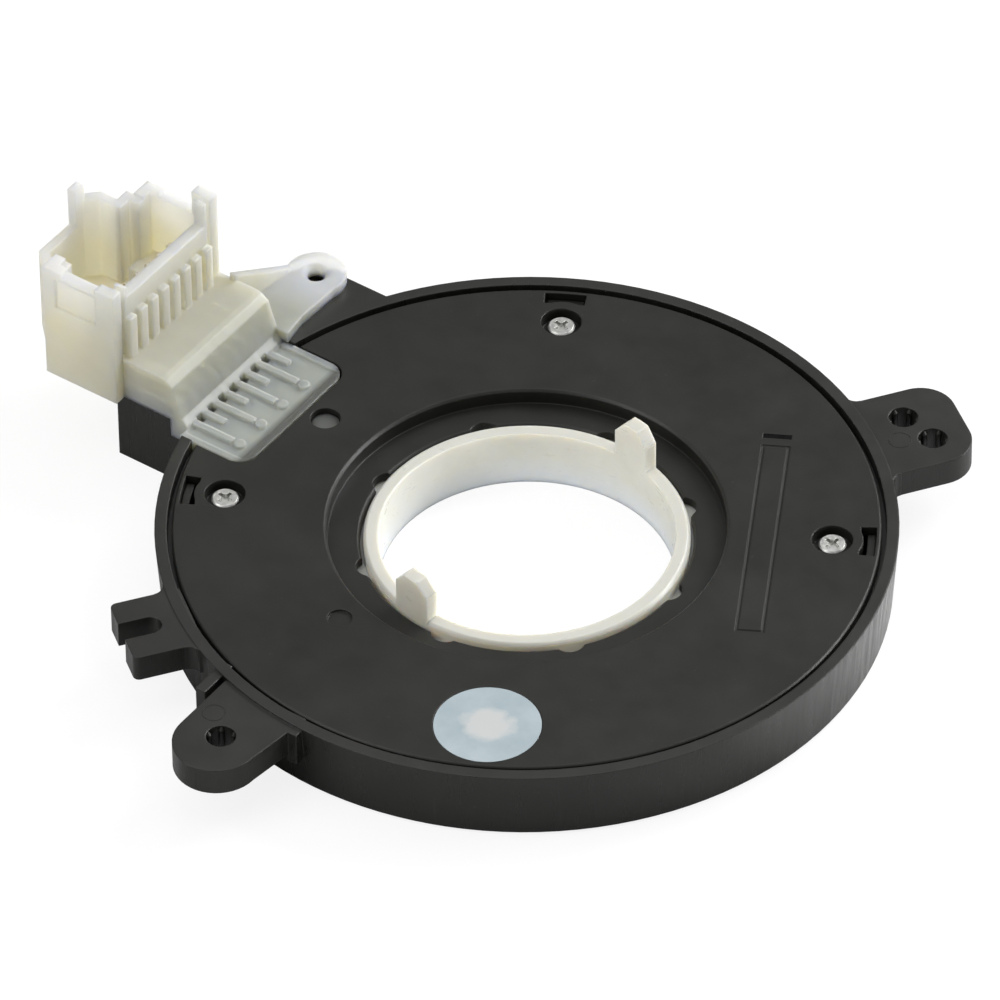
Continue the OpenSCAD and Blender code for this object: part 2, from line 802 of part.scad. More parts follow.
// Thin groove frame and bar on the cover
module marking_field() {
    translate([field_x, field_y, cover_top - groove_depth])
        rotate([0, 0, field_turn]) {
            for (y = [0, field_w - groove_w])
                block([0, y, 0], [field_l, y + groove_w, past]);
            for (x = [0, field_l - groove_w])
                block([x, 0, 0], [x + groove_w, field_w, past]);
            block([-bar_gap - bar_w, 0, 0], [-bar_gap, field_w, past]);
        }
}

// One drive tab with sloped ends, curved to the rotor's ring
module drive_tab(angle) {
    top = rotor_top + tab_rise;
    intersection() {
        ring(bore_r, rotor_r, rotor_top - past, top + past);
        rotate([0, 0, angle])
            rotate([90, 0, 90])
                linear_extrude(rotor_r + past)
                    polygon([[-tab_w / 2, rotor_top - past], [tab_w / 2, rotor_top - past],
                        [tab_w / 2, top - tab_slope_h], [tab_w / 2 - tab_slope_w, top],
                        [-tab_w / 2 + tab_slope_w, top], [-tab_w / 2, top - tab_slope_h]]);
    }
}

module hub_rotor() {
    color(white_acetal)
        union() {
            rotate_extrude()
                polygon([[bore_r, rotor_foot], [rotor_r - rim_chamfer, rotor_foot],
                    [rotor_r, rotor_foot + rim_chamfer], [rotor_r, gear_top - lap],
                    [rotor_r + shoulder_w, gear_top - lap], [rotor_r + shoulder_w, shoulder_top],
                    [rotor_r, shoulder_top], [rotor_r, rotor_top - rim_chamfer],
                    [rotor_r - rim_chamfer, rotor_top], [bore_r, rotor_top]]);
            translate([0, 0, gear_z])
                difference() {
                    linear_extrude(gear_face)
                        gear_outline(rotor_teeth);
                    translate([0, 0, -past])
                        cylinder(r = rotor_r - lap, h = gear_face + 2 * past);
                }
            for (k = [0, 1])
                drive_tab(tab_angle + 180 * k);
        }
}

// Measuring gear with a spindle bore below and a magnet cup above
module measuring_gear(teeth, angle) {
    color(natural_nylon)
        at([gear_distance(teeth), angle])
            rotate([0, 0, mesh_turn(teeth, angle)])
                difference() {
                    union() {
                        translate([0, 0, gear_z])
                            linear_extrude(gear_face)
                                gear_outline(teeth);
                        translate([0, 0, base_t + 0.2])
                            cylinder(r = gear_boss_r, h = gear_face);
                        translate([0, 0, gear_top - lap])
                            cylinder(r = magnet_r + cup_wall, h = cup_top - gear_top + lap);
                    }
                    translate([0, 0, 0])
                        cylinder(r = spindle_r + spindle_play, h = spindle_top + 0.1);
                    translate([0, 0, cup_top - magnet_t])
                        cylinder(r = magnet_r + 0.02, h = magnet_t + past);
                }
}

module magnet(teeth, angle) {
    color([0.25, 0.25, 0.27])
        at([gear_distance(teeth), angle])
            translate([0, 0, cup_top - magnet_t])
                cylinder(r = magnet_r, h = magnet_t);
}

// Flat chip package with leads along two sides, its leads standing on the board
module chip(w, l, t, leads, side) {
    foot = 0.15;
    stand = 0.1;
    lead_l = 0.9;
    lead_w = 0.3;
    step = l / leads;
    lead_x = w / 2 + lead_reach - lead_l / 2;
    mirror([0, 0, side < 0 ? 1 : 0]) {
        translate([-w / 2, -l / 2, stand])
            cube([w, l, t - stand]);
        for (s = [-1, 1])
            for (i = [0 : leads - 1])
                translate([s * lead_x - lead_l / 2, (i + 0.5) * step - (l + lead_w) / 2, 0])
                    cube([lead_l, lead_w, stand + foot]);
    }
}

module angle_sensor(teeth, angle) {
    color(package_black)
        at([gear_distance(teeth), angle])
            translate([0, 0, board_z])
                chip(sensor_w, sensor_l, sensor_t, 4, -1);
}

module top_chip(place, w, l, leads) {
    color(package_black)
        at(place)
            translate([0, 0, board_top])
                chip(w, l, chip_t, leads, 1);
}

module capacitor(place) {
    color([0.62, 0.5, 0.38])
        at(place)
            translate([-capacitor_w / 2, -capacitor_l / 2, board_top])
                cube([capacitor_w, capacitor_l, capacitor_t]);
}

module resonator() {
    color(zinc)
        at(resonator_place)
            translate([-resonator_w / 2, -resonator_l / 2, board_top])
                cube([resonator_w, resonator_l, resonator_t]);
}

module circuit_board() {
    color(board_green)
        difference() {
            intersection() {
                ring(board_in, board_out, board_z, board_top);
                sector(board_out, board_from, board_to, board_z - past, board_top + past);
            }
            for (p = post_places)
                at(p)
                    translate([0, 0, board_z - past])
                        cylinder(r = post_pin_r + 0.05, h = board_t + 2 * past);
            for (i = [0 : ways - 1])
                translate([-tail_x(i), pin_y(i), board_z - past])
                    cylinder(r = terminal_s * sqrt(2) / 2 + 0.05, h = board_t + 2 * past);
        }
}

function pin_y(i) = conn_y + (i - (ways - 1) / 2) * pitch;
function tail_x(i) = i % 2 == 0 ? tail_long_x : tail_short_x;

// Bent terminal from its solder tail to its tip, grown by a gap for its channel
module terminal_form(i, grow) {
    s = terminal_s / 2 + grow;
    translate([0, pin_y(i) + s, 0])
        rotate([90, 0, 0])
            linear_extrude(2 * s)
                union() {
                    run([-tail_x(i), tail_foot_z], [-tail_x(i), tongue_run_z], s);
                    run([-riser_x, tongue_run_z], [-tail_x(i), tongue_run_z], s);
                    run([-riser_x, tongue_run_z], [-riser_x, run_z], s);
                    run([-pin_x, run_z], [-riser_x, run_z], s);
                    run([-pin_x, run_z], [-pin_x, floor_top + tip_h], s);
                }
}

// Straight stretch between two points of a drawing, with square ends
module run(p, q, s) {
    translate([p[0] - s, p[1] - s])
        square([q[0] - p[0] + 2 * s, q[1] - p[1] + 2 * s]);
}

module terminal(i) {
    if (i < ways)
        color([0.78, 0.74, 0.6])
            difference() {
                terminal_form(i, 0);
                // Chamfered tip
                for (s = [-1, 1])
                    translate([-pin_x + s * terminal_s / 2, pin_y(i), floor_top + tip_h + terminal_s / 2])
                        rotate([0, 45, 0])
                            cube([0.3, 2, 0.3], center = true);
            }
}

// Outline of the latch hood in plan, wide step first, then the narrow room with cut corners
module hood_outline(grow) {
    x0 = -mouth_far_x + lap;
    x1 = -shroud_far_x - grow;
    x2 = -hood_far_x - grow;
    wide = hood_wide + grow;
    half = hood_half + grow;
    cut = hood_cut + grow * 0.4;
    polygon([[x0, conn_y - wide], [x0, conn_y + wide], [x1, conn_y + wide], [x1, conn_y + half],
        [x2 + cut, conn_y + half], [x2, conn_y + half - cut], [x2, conn_y - half + cut],
        [x2 + cut, conn_y - half], [x1, conn_y - half], [x1, conn_y - wide]]);
}

// Shroud round the terminals, with corner posts, latch hood and comb ribs
module shroud() {
    y0 = conn_y - shroud_half;
    y1 = conn_y + shroud_half;
    step_y = conn_y + hood_split;
    slit_y = mouth_half - 0.45;
    hood_end = -hood_far_x - hood_t;
    difference() {
        union() {
            block([-shroud_far_x, y0, ring_h], [-shroud_x, y1, shroud_top]);
            // End wall towards -Y
            block([-shroud_far_x, y0, shroud_top - lap], [-shroud_x, y0 + shroud_t + lap, end_top]);
            // Latch hood, low up to a step, with a lug beside it
            difference() {
                translate([0, 0, ring_h])
                    linear_extrude(shroud_h)
                        hood_outline(hood_t);
                block([hood_end - past, y0, shroud_top - hood_drop], [-shroud_far_x, step_y, post_top]);
            }
            block([hood_end, step_y, shroud_top - lap],
                [-hood_far_x, step_y + lug_l, shroud_top + lug_rise]);
            // Corner posts, the tall one beside the flange
            for (y = [y0, y1 - corner_l])
                for (x = [-shroud_far_x, -shroud_x - corner_l]) {
                    inner_top = x > -shroud_far_x ? corner_top : low_post_top;
                    block([x, y, ring_h], [x + corner_l, y + corner_l, y > y0 ? inner_top : post_top]);
                }
            for (i = [0 : ways - 1])
                block([-shroud_x - lap, pin_y(i) - comb_w / 2, block_top - lap],
                    [-shroud_x + bar_deep, pin_y(i) + comb_w / 2, comb_top]);
        }
        // Mouth and the room in the hood
        block([-mouth_far_x, conn_y - mouth_half, floor_top],
            [-shroud_x - shroud_t, conn_y + mouth_half, corner_top + past]);
        translate([0, 0, floor_top])
            linear_extrude(corner_top)
                hood_outline(0);
        // Slits beside the end posts of the inner wall
        for (s = [-1, 1])
            block([-shroud_x - shroud_t - past, conn_y + s * slit_y - slit_w / 2, block_top],
                [-shroud_x + past, conn_y + s * slit_y + slit_w / 2, corner_top + past]);
        // Shallow panels in the end walls, closed at their top
        for (s = [[y0, end_top], [y1, shroud_top]])
            block([-shroud_far_x + panel_edge, s[0] - panel_deep, panel_foot],
                [-shroud_x - corner_l, s[0] + panel_deep, s[1] - panel_lip]);
    }
    // Raised floor at the +Y end of the mouth
    block([-mouth_far_x - lap, conn_y + shelf_y, floor_top - lap],
        [-shroud_x - shroud_t + lap, conn_y + mouth_half + lap, floor_top + shelf_h]);
}

// Block between the tongue and the shroud, with a sloped inner side
module slope_block() {
    low_y = conn_y - block_low;
    high_y = conn_y + shroud_half;
    crest_x = -block_x - block_slope;
    translate([0, high_y, 0])
        rotate([90, 0, 0])
            linear_extrude(high_y - low_y)
                polygon([[-shroud_x - lap, ring_h], [-step_x, ring_h], [-step_x, board_top],
                    [-block_x, board_top], [-block_x, tongue_top + 0.2], [-block_x - 0.8, tongue_top + 1.2],
                    [crest_x + 0.9, block_top - 0.9], [crest_x, block_top - 0.2],
                    [crest_x - 0.7, block_top], [-shroud_x - lap, block_top]]);
}

// Flange beside the block with the fixing hole and an upright web along its outer edge
module fixing_flange() {
    hx = -flange_hole_x;
    hy = conn_y + flange_hole_y;
    side = conn_y + shroud_half - lap;
    edge = [[hx - flange_r + 0.1, hy - 0.9], [-shroud_x + 1.8, side]];
    along = edge[0] - edge[1];
    sink = 1;
    difference() {
        union() {
            translate([0, 0, ring_h])
                linear_extrude(flange_t)
                    union() {
                        translate([hx, hy])
                            circle(r = flange_r);
                        polygon([edge[0], edge[1], [-block_x + 0.9, side],
                            [-block_x + 0.4, side + 3.6], [hx + flange_r - 0.2, hy - 1.2]]);
                    }
            translate([edge[1][0], edge[1][1], ring_h])
                rotate([90, 0, atan2(along[1], along[0])])
                    linear_extrude(web_t)
                        polygon([[0, 0], [norm(along), 0], [norm(along), flange_t], [0, block_h + 1]]);
        }
        translate([hx, hy, 0])
            cylinder(r = flange_hole_r, h = block_top);
        // Countersink
        translate([hx, hy, ring_h + flange_t - 0.6])
            cylinder(r1 = flange_hole_r, r2 = flange_hole_r + sink, h = sink);
    }
}

// Plate with the locating boss that reaches under the cover
module locator() {
    plate_t = cover_under - board_top - 0.2;
    at(locator_place) {
        translate([0, 0, board_top])
            cylinder(r = locator_r, h = cover_top - 0.8 - board_top);
        translate([0, 0, board_top])
            cylinder(r = locator_r + 0.8, h = plate_t);
        translate([0, -locator_r - 0.8, board_top])
            cube([tongue_x + 0.5 - locator_place[0], 2 * locator_r + 1.6, plate_t]);
    }
}

// Ribs over the terminals on the tongue, short and long in turn, with a dome at each tail
module tongue_ribs() {
    rib_w = 0.9;
    rib_h = 0.35;
    for (i = [0 : ways - 1]) {
        long = i % 2 == 0;
        end_x = long ? tail_long_x + 1 : tail_short_x + 0.5;
        block([-slot_x - lap, pin_y(i) - rib_w / 2, tongue_top - 0.5],
            [-end_x, pin_y(i) + rib_w / 2, tongue_top - 0.2 + rib_h]);
        if (long)
            translate([-tail_long_x, pin_y(i), tongue_top - 0.5])
                cylinder(r = 0.75, h = 0.3 + rib_h);
    }
}

module connector_housing() {
    color(natural_nylon)
        difference() {
            union() {
                difference() {
                    translate([0, 0, board_top])
                        linear_extrude(tongue_top - board_top)
                            tongue_outline(0);
                    // Lowered field inside the tongue's border
                    block([-slot_x, conn_y - tongue_half + 0.9, tongue_top - 0.2],
                        [-tongue_x - 0.9, conn_y + tongue_half - 0.9, tongue_top + past]);
                }
                tongue_ribs();
                locator();
                slope_block();
                shroud();
                fixing_flange();
            }
            // Pits between the ribs at the foot of the block
            for (i = [0 : ways - 2])
                translate([-slot_x - 0.4, pin_y(i) + pitch / 2 - 0.55, tongue_top - 1])
                    cube([0.9, 1.1, 1.6]);
            for (i = [0 : ways - 1])
                terminal_form(i, terminal_play);
        }
}

// Flat-head screw with a cross recess, seated in a counterbore of the cover
module cover_screw(angle) {
    edge = 0.2;
    deep = 0.6;
    color(zinc)
        at([screw_ring_r, angle])
            difference() {
                union() {
                    translate([0, 0, seat_z - screw_l])
                        cylinder(r = screw_r, h = screw_l + lap);
                    translate([0, 0, seat_z])
                        cylinder(r = head_r, h = head_t - edge);
                    translate([0, 0, seat_z + head_t - edge])
                        cylinder(r1 = head_r, r2 = head_r - edge, h = edge);
                }
                translate([0, 0, seat_z + head_t - deep]) {
                    cylinder(r = cross_reach / 2, h = past);
                    for (a = [0, 90])
                        rotate([0, 0, cross_turn - angle + a])
                            translate([-cross_reach, -cross_w / 2, 0])
                                cube([2 * cross_reach, cross_w, past]);
                }
            }
}

module vent_film() {
    color(film_blue)
        at(film_place)
            translate([0, 0, cover_top - film_t])
                cylinder(r = film_r, h = film_t);
}

housing();
cover();
hub_rotor();
measuring_gear(gear_a_teeth, gear_a_angle);  // measuring_gear_a
measuring_gear(gear_b_teeth, gear_b_angle);  // measuring_gear_b
magnet(gear_a_teeth, gear_a_angle);  // magnet_a
magnet(gear_b_teeth, gear_b_angle);  // magnet_b
circuit_board();
angle_sensor(gear_a_teeth, gear_a_angle);  // angle_sensor_a
angle_sensor(gear_b_teeth, gear_b_angle);  // angle_sensor_b
top_chip(microcontroller_place, microcontroller_s, microcontroller_s, 8);  // microcontroller
top_chip(transceiver_place, transceiver_w, transceiver_l, 4);  // bus_transceiver
top_chip(regulator_place, regulator_s, regulator_s, 3);  // voltage_regulator
resonator();
capacitor(capacitor_places[0]);  // capacitor_1
capacitor(capacitor_places[1]);  // capacitor_2
capacitor(capacitor_places[2]);  // capacitor_3
capacitor(capacitor_places[3]);  // capacitor_4
connector_housing();
terminal(0);  // terminal_1
terminal(1);  // terminal_2
terminal(2);  // terminal_3
terminal(3);  // terminal_4
terminal(4);  // terminal_5
terminal(5);  // terminal_6
terminal(6);  // terminal_7
terminal(7);  // terminal_8
cover_screw(screw_angles[0]);  // cover_screw_1
cover_screw(screw_angles[1]);  // cover_screw_2
cover_screw(screw_angles[2]);  // cover_screw_3
vent_film();
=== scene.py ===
"""Looks of the steering angle sensor: materials, small details, floor, light and camera.

Lengths are in metres, unless a comment says millimetres (mm). Colours are linear.
"""
import json
import math

import bmesh
import bpy
from mathutils import Matrix, Vector


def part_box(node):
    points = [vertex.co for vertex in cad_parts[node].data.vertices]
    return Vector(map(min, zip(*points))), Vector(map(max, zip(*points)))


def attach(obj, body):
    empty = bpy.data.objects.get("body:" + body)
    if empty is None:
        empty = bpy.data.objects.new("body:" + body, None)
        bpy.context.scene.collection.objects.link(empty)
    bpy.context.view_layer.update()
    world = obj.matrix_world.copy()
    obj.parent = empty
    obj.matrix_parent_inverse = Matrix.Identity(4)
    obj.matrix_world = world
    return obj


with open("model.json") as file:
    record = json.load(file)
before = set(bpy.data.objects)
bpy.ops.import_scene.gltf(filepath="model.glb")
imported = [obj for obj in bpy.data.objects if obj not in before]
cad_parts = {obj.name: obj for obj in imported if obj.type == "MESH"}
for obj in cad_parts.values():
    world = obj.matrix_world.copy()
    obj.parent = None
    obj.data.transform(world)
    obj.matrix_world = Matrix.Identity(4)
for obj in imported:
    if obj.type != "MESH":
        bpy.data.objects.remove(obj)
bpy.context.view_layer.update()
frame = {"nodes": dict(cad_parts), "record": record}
nodes = frame["nodes"]
scene = bpy.context.scene

MM = 0.001
CM_PER_M = 100
NOTHING = (0.0, 0.0, 0.0)
WHITE = (1.0, 1.0, 1.0)

# Camera fitted to the photograph: place and aim in mm in the part's frame, roll in degrees,
# lens and sensor in mm, and how far it sees
CAMERA_AT = (627.10, -868.57, 985.83)
CAMERA_AIM = (-4.957, 1.379, 9.7)
CAMERA_ROLL = -0.746
CAMERA_LENS = 432
CAMERA_SENSOR = 36
CAMERA_REACH = 20

# Soft square lamps: name, place, aim, side and power
LAMPS = (
    ("key", (0.25, 0.80, 0.62), (0.02, 0.0, 0), 0.45, 9.5),
    ("side", (0.75, 0.70, 0.38), (0.04, 0.0, 0), 0.3, 5.5),
    ("fill", (-0.45, -0.60, 0.8), (0, 0, 0), 0.7, 5.0),
    ("top", (0.0, 0.1, 1.1), (0, 0, 0), 1.0, 5.0),
)
WORLD_STRENGTH = 0.38

# Floor: half its side, its gap under the part, its colour, and the share of plain white that
# the camera sees in it
FLOOR_HALF = 6
FLOOR_GAP = 0.00002
FLOOR_COLOUR = (0.93, 0.93, 0.93)
FLOOR_GLOW = 0.85

# Painted reflection: the floor as the part mirrors it, painted shade in front that turns to painted
# light towards the right, and grey painted shade far back
MIRROR_TURN = math.radians(36)
MIRROR_RIGHT = (0.029, 0.045)
MIRROR_PAINTED_SHADE, MIRROR_PAINTED_LIGHT = 0.40, 0.98
MIRROR_BACK = (0.025, 0.031)
MIRROR_BACK_SHADE = (0.45, 0.45, 0.45)

# Radius of the rounding that each material's edges seem to have
BEVEL_SAMPLES = 4
BLACK_ROUND = 0.00026
ACETAL_ROUND = 0.00035
NYLON_ROUND = 0.00045
PLASTIC_ROUND = 0.00006
METAL_ROUND = 0.00008
FILM_ROUND = 0.00006

# Black nylon: shine of the housing and of the cover, radii over which the drag lines of the
# outer walls set in, reach of the paler edges and how sharp an edge is that turns paler
HOUSING_SHINE, COVER_SHINE = 0.46, 0.34
DRAG_LINES = (0.041, 0.043)
EDGE_REACH = 0.00012
EDGE_FROM, EDGE_TO = 0.02, 0.25
BLACK_DEEP, BLACK_PALE = (0.0070, 0.0070, 0.0060), (0.0125, 0.0124, 0.0106)
BLACK_SCRATCH = (0.035, 0.035, 0.033)
# Drag lines: real marks, painted lighter as highlight streaks too
BLACK_DRAG_AND_SHEEN = (0.040, 0.040, 0.037)
BLACK_DUST = (0.12, 0.12, 0.115)
# Paler colour on sharp edges
BLACK_EDGE_TONE = (0.045, 0.045, 0.042)

# White acetal: heights between which the tube turns from a cool painted shade to warm, and the
# left side that catches the lamps and gets painted shade
ACETAL_HEIGHTS = (0.0015, 0.0042)
ACETAL_LEFT = (-0.024, -0.015)
ACETAL_WARM = (0.735, 0.735, 0.69), (0.665, 0.66, 0.595)
# Painted shade: the cool tint low on the tube
ACETAL_COOL_SHADE = (0.72, 0.74, 0.745), (0.66, 0.68, 0.68)
# Painted shade on the left side, which catches the lamps
ACETAL_LEFT_SHADE = (0.51, 0.51, 0.48)
# Painted shade on the level faces, such as the rim's top, under the light from above
ACETAL_LEVEL_SHADE = (0.46, 0.46, 0.425)
ACETAL_SMEAR = (0.50, 0.44, 0.32)

# Natural nylon: where the shroud's top, the tongue, the flange and the tongue's tip set in; the
# tip, seen in the cover's hole, gets painted shade
NYLON_TOP = (0.018, 0.026)
NYLON_TONGUE = (-0.0590, -0.0410)
NYLON_FLANGE = (0.0135, 0.0185)
NYLON_TIP = (-0.0362, -0.0352)
NYLON_WARM = (0.885, 0.85, 0.715), (0.815, 0.77, 0.61)
NYLON_GREY = (0.51, 0.535, 0.485), (0.425, 0.45, 0.40)
NYLON_PALE = (0.90, 0.905, 0.865), (0.83, 0.83, 0.775)
NYLON_TOP_COLOUR = (0.93, 0.93, 0.90)
# Painted shade of the tongue's tip down in the cover's hole
NYLON_TIP_SHADE = (0.16, 0.165, 0.15)

# Film: depth of the ragged outline of its painted highlight patch, and the distances in cm over
# which the patch ends
FILM_RAGGED = 0.0045
FILM_HIGHLIGHT_FADE = (0.44, 0.56)
FILM_SHEET = (0.25, 0.305, 0.33), (0.32, 0.37, 0.395)
# Painted highlight at the film's middle
FILM_PAINTED_HIGHLIGHT = (0.40, 0.41, 0.41)

# Ears of the housing, in mm: underside and top, and each hole's centre with its turn in degrees
EAR_LOW, EAR_TOP = 5.8, 9.4
EAR_HOLES = (((-8.1, -51.2), 5), ((31.5625, 40.8917), 40), ((26.4834, 42.0065), 40))
EAR_HOLE_R = 1.8

# Crush ribs in the ears' holes, in mm: how many in a hole, sides, and height with radius
RIBS = 6
RIB_SIDES = 10
RIB_PROFILE = ((EAR_LOW + 0.3, 0.12), (EAR_LOW + 0.7, 0.4),
               (EAR_TOP - 0.6, 0.4), (EAR_TOP - 0.2, 0.1))

# Ejector marks on the ears, in mm: centres, sides, and radius with height over the ear
EJECTOR_MARKS = ((28.5, 38.3), (-11.2, -48.4))
EJECTOR_SIDES = 64
EJECTOR_PROFILE = ((1.30, -0.02), (1.33, 0.035), (1.39, 0.035), (1.42, -0.02))

# Painted shade in the bar groove at the head of the marking field, in mm: the field's corner and
# turn, the bar's two ends along the field, its length across, and how far its bottom and top lie
# under the cover's top
FIELD_CORNER = (15.2, 28.0)
FIELD_TURN = math.radians(-61)
BAR_FROM, BAR_TO = -2.0, -1.2
BAR_LENGTH = 3.5
BAR_DEPTHS = (0.3, 0.01)


def mm(*values):
    """A vector in metres from millimetres."""
    return Vector(v * MM for v in values)


class Shader:
    """A short way to write a node material. Values are numbers, colours or sockets."""

    def __init__(self, name):
        self.material = bpy.data.materials.new(name)
        self.material.use_nodes = True
        self.tree = self.material.node_tree
        self.bsdf = self.tree.nodes["Principled BSDF"]
        self.place = self.tree.nodes.new("ShaderNodeTexCoord").outputs["Object"]

    def node(self, kind, **settings):
        """New node, with its properties and inputs set."""
        made = self.tree.nodes.new(kind)
        for key, value in settings.items():
            if hasattr(made, key):
                setattr(made, key, value)
            else:
                self.feed(made.inputs[key.replace("_", " ")], value)
        return made

    def feed(self, socket, value):
        """Give an input a number, a colour, a vector or another node's output."""
        if isinstance(value, bpy.types.NodeSocket):
            self.tree.links.new(value, socket)
        else:
            socket.default_value = (*value, 1) if socket.type == "RGBA" else value

    def fed(self, kind, operation, values):
        """New math node over some values."""
        made = self.node(kind, operation=operation)
        for socket, value in zip(made.inputs, values):
            self.feed(socket, value)
        return made

    def calc(self, operation, *values):
        """Number from a math node."""
        return self.fed("ShaderNodeMath", operation, values).outputs[0]

    def vector(self, operation, *values):
        """Number from a vector math node."""
        return self.fed("ShaderNodeVectorMath", operation, values).outputs["Value"]

    def noise(self, scale, detail=4.0, rough=0.55, stretch=(1, 1, 1)):
        """Noise over the object's own coordinates; scale is in features per metre."""
        mapping = self.node("ShaderNodeMapping", Vector=self.place, Scale=stretch)
        return self.node("ShaderNodeTexNoise", Vector=mapping.outputs["Vector"], Scale=scale,
                         Detail=detail, Roughness=rough).outputs["Fac"]

    def ramp(self, source, low, high, start=0.3, end=0.7):
        """Grey or colour that runs from low to high while the source goes from start to end."""
        ramp = self.node("ShaderNodeValToRGB", Fac=source)
        for stop, place, value in zip(ramp.color_ramp.elements, (start, end), (low, high)):
            stop.position = place
            stop.color = (*(value if isinstance(value, tuple) else (value,) * 3), 1)
        return ramp.outputs["Color"]

    def rise(self, source, low, high):
        """Value that goes from 0 to 1 while the source goes from low to high."""
        return self.node("ShaderNodeMapRange", Value=source, From_Min=low,
                         From_Max=high).outputs["Result"]

    def mix(self, share, a, b):
        """Mix of two colours or masks."""
        mix = self.node("ShaderNodeMix", data_type="RGBA")
        for index, value in ((0, share), (6, a), (7, b)):
            self.feed(mix.inputs[index], value)
        return mix.outputs[2]

    def times(self, share, mask):
        """Mask weakened by a number or by another mask."""
        return self.mix(share, NOTHING, mask)

    def bump(self, height, strength, distance, normal=None):
        """Normal with a fine relief, added to another normal where one is given."""
        bump = self.node("ShaderNodeBump", Height=height, Strength=strength, Distance=distance)
        if normal is not None:
            self.feed(bump.inputs["Normal"], normal)
        return bump.outputs["Normal"]

    def rounded(self, radius):
        """Normal that looks as if every sharp edge had a small radius."""
        return self.node("ShaderNodeBevel", samples=BEVEL_SAMPLES, Radius=radius).outputs["Normal"]

    def normal(self):
        """The surface's own normal."""
        return self.node("ShaderNodeNewGeometry").outputs["Normal"]

    def edges(self, radius):
        """Mask that is 1 on sharp edges."""
        same = self.vector("DOT_PRODUCT", self.rounded(radius), self.normal())
        return self.ramp(self.calc("SUBTRACT", 1, same), 0.0, 1.0, EDGE_FROM, EDGE_TO)

    def split(self, source, letter):
        """One coordinate of a vector."""
        split = self.node("ShaderNodeSeparateXYZ")
        self.feed(split.inputs[0], source)
        return split.outputs[letter]

    def axis(self, letter, low, high):
        """Value that goes from 0 to 1 along an axis of the part, between two places."""
        return self.rise(self.split(self.place, letter), low, high)

    def upright(self):
        """Mask that is 1 on upright walls."""
        return self.ramp(self.calc("ABSOLUTE", self.split(self.normal(), "Z")), 1.0, 0.0, 0.2, 0.5)

    def outside(self, low, high):
        """Value that goes from 0 to 1 away from the part's own axis, between two radii."""
        flat = self.fed("ShaderNodeVectorMath", "MULTIPLY", (self.place, (1, 1, 0)))
        return self.rise(self.vector("LENGTH", flat.outputs["Vector"]), low, high)

    def set(self, **values):
        """Set the shader's own sockets."""
        for key, value in values.items():
            self.feed(self.bsdf.inputs[key.replace("_", " ")], value)


def black_nylon(name, shine):
    """Black glass-filled nylon: satin, with fibre speckle, flow marks, scratches and pale specks.

    Drag lines run up the outer walls only; their lighter colour is partly real marks and partly
    painted highlight streaks.
    """
    s = Shader(name)
    flow = s.noise(60, detail=6, rough=0.6)
    fibre = s.noise(2600, detail=3, rough=0.7)
    scratch = s.noise(220, detail=8, rough=0.75, stretch=(1, 9, 1))
    drag = s.noise(1100, detail=5, rough=0.65, stretch=(1, 1, 0.03))
    walls = s.times(s.upright(), s.outside(*DRAG_LINES))
    dust = s.ramp(s.noise(1500, detail=2, rough=0.5), 0.0, 1.0, 0.72, 0.78)
    body = s.ramp(flow, BLACK_DEEP, BLACK_PALE)
    body = s.mix(s.ramp(scratch, 0.0, 0.22, 0.64, 0.74), body, BLACK_SCRATCH)
    # Lighter drag lines: real marks, and painted highlight streaks too
    body = s.mix(s.times(walls, s.ramp(drag, 0.0, 0.35, 0.60, 0.76)), body, BLACK_DRAG_AND_SHEEN)
    body = s.mix(s.times(0.10, dust), body, BLACK_DUST)
    # Paler colour on sharp edges
    body = s.mix(s.times(0.30, s.edges(EDGE_REACH)), body, BLACK_EDGE_TONE)
    satin = s.ramp(s.noise(170, detail=6, rough=0.7), 0.33, 0.46)
    normal = s.bump(fibre, 0.10, 0.00002, s.rounded(BLACK_ROUND))
    normal = s.bump(s.times(walls, drag), 0.22, 0.00006, normal)
    s.set(Base_Color=body,
          Roughness=s.mix(walls, satin, s.ramp(drag, 0.24, 0.42, 0.35, 0.65)),
          Normal=s.bump(flow, 0.15, 0.00008, normal),
          Specular_IOR_Level=shine)
    return s.material


def groove_shade_black():
    """Matt black that paints the shade in the bar groove."""
    s = Shader("groove_shade_black")
    s.set(Base_Color=s.ramp(s.noise(1500), 0.0015, 0.004),
          Roughness=s.ramp(s.noise(900), 0.6, 0.8),
          Normal=s.bump(s.noise(2600), 0.2, 0.00002),
          Specular_IOR_Level=0.05)
    return s.material


def white_acetal():
    """White acetal of the rotor: smooth, a little translucent, with cool painted shade low on the
    tube.

    It carries faint handling marks, and painted shade on its left side and its level faces.
    """
    s = Shader("white_acetal")
    stain = s.noise(90, detail=7, rough=0.65)
    smear = s.noise(420, detail=5, rough=0.6, stretch=(1, 1, 4))
    warm = s.ramp(stain, *ACETAL_WARM, 0.35, 0.65)
    cool_shade = s.ramp(stain, *ACETAL_COOL_SHADE, 0.35, 0.65)
    # Painted shade: cooler tint low on the tube
    body = s.mix(s.axis("Z", *ACETAL_HEIGHTS), cool_shade, warm)
    # Painted shade: the left side darker against the lamps
    body = s.mix(s.axis("X", *ACETAL_LEFT), ACETAL_LEFT_SHADE, body)
    # Painted shade: level faces darker than upright walls
    body = s.mix(s.upright(), ACETAL_LEVEL_SHADE, body)
    body = s.mix(s.ramp(smear, 0.0, 0.2, 0.66, 0.8), body, ACETAL_SMEAR)
    s.set(Base_Color=body,
          Roughness=s.ramp(smear, 0.26, 0.38),
          Normal=s.bump(stain, 0.10, 0.00008, s.rounded(ACETAL_ROUND)),
          Subsurface_Weight=0.8, Subsurface_Radius=(1.0, 0.85, 0.6), Subsurface_Scale=0.002)
    return s.material


